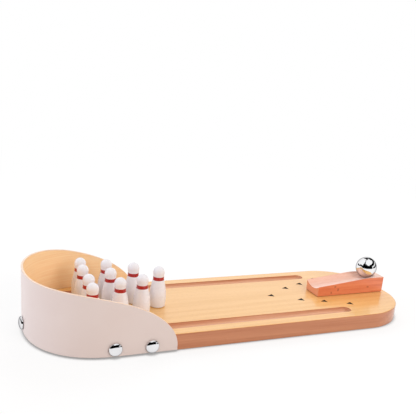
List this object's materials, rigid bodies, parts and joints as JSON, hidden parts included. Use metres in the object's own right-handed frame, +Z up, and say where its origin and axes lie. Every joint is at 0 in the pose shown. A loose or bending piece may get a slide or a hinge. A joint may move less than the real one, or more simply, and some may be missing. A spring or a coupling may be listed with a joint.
{
  "type": "tabletop bowling game",
  "caption": "Tabletop bowling game: round-ended wooden lane with side gutters, a bent white guard round the pins, a sloping ramp and a polished metal ball.",
  "frame": {"origin": "middle of the lane board's length and width, on its flat underside", "axes": "+X along the lane from the pins to the player's end, where the ramp stands; +Y across the lane, to the far side of the picture; +Z up"},
  "size_m": [0.2925, 0.107, 0.0442],
  "materials": {
    "lane_wood": "clear lacquered pale wood with dark aiming marks",
    "guard_white": "thin bent wood strip, white lacquer outside and bare pale wood inside",
    "stud_chrome": "polished domed nail head",
    "ramp_wood": "sanded reddish wood with small dark knots",
    "ball_steel": "mirror-polished steel",
    "pin_white": "turned wood in white gloss paint with one red band"
  },
  "bodies": {
    "base": {"lane_board": "lane_wood", "guard_band": "guard_white", "guard_stud_1": "stud_chrome", "guard_stud_2": "stud_chrome", "guard_stud_3": "stud_chrome", "guard_stud_4": "stud_chrome", "guard_stud_5": "stud_chrome"},
    "ramp": {"ramp": "ramp_wood"},
    "ball": {"ball": "ball_steel"},
    "pin_1": {"pin_1": "pin_white"},
    "pin_2": {"pin_2": "pin_white"},
    "pin_3": {"pin_3": "pin_white"},
    "pin_4": {"pin_4": "pin_white"},
    "pin_5": {"pin_5": "pin_white"},
    "pin_6": {"pin_6": "pin_white"},
    "pin_7": {"pin_7": "pin_white"},
    "pin_8": {"pin_8": "pin_white"},
    "pin_9": {"pin_9": "pin_white"},
    "pin_10": {"pin_10": "pin_white"}
  },
  "joints": [
    {"name": "ramp_lift", "type": "slide", "parent": "base", "child": "ramp", "axis": [0, 0, 1], "range_m": [0, 0.045]},
    {"name": "ball_roll", "type": "slide", "parent": "ramp", "child": "ball", "axis": [-0.9946, 0, -0.1036], "range_m": [0, 0.1]},
    {"name": "pin_1_lift", "type": "slide", "parent": "base", "child": "pin_1", "axis": [0, 0, 1], "range_m": [0, 0.045]},
    {"name": "pin_2_lift", "type": "slide", "parent": "base", "child": "pin_2", "axis": [0, 0, 1], "range_m": [0, 0.045]},
    {"name": "pin_3_lift", "type": "slide", "parent": "base", "child": "pin_3", "axis": [0, 0, 1], "range_m": [0, 0.045]},
    {"name": "pin_4_lift", "type": "slide", "parent": "base", "child": "pin_4", "axis": [0, 0, 1], "range_m": [0, 0.045]},
    {"name": "pin_5_lift", "type": "slide", "parent": "base", "child": "pin_5", "axis": [0, 0, 1], "range_m": [0, 0.045]},
    {"name": "pin_6_lift", "type": "slide", "parent": "base", "child": "pin_6", "axis": [0, 0, 1], "range_m": [0, 0.045]},
    {"name": "pin_7_lift", "type": "slide", "parent": "base", "child": "pin_7", "axis": [0, 0, 1], "range_m": [0, 0.045]},
    {"name": "pin_8_lift", "type": "slide", "parent": "base", "child": "pin_8", "axis": [0, 0, 1], "range_m": [0, 0.045]},
    {"name": "pin_9_lift", "type": "slide", "parent": "base", "child": "pin_9", "axis": [0, 0, 1], "range_m": [0, 0.045]},
    {"name": "pin_10_lift", "type": "slide", "parent": "base", "child": "pin_10", "axis": [0, 0, 1], "range_m": [0, 0.045]}
  ]
}
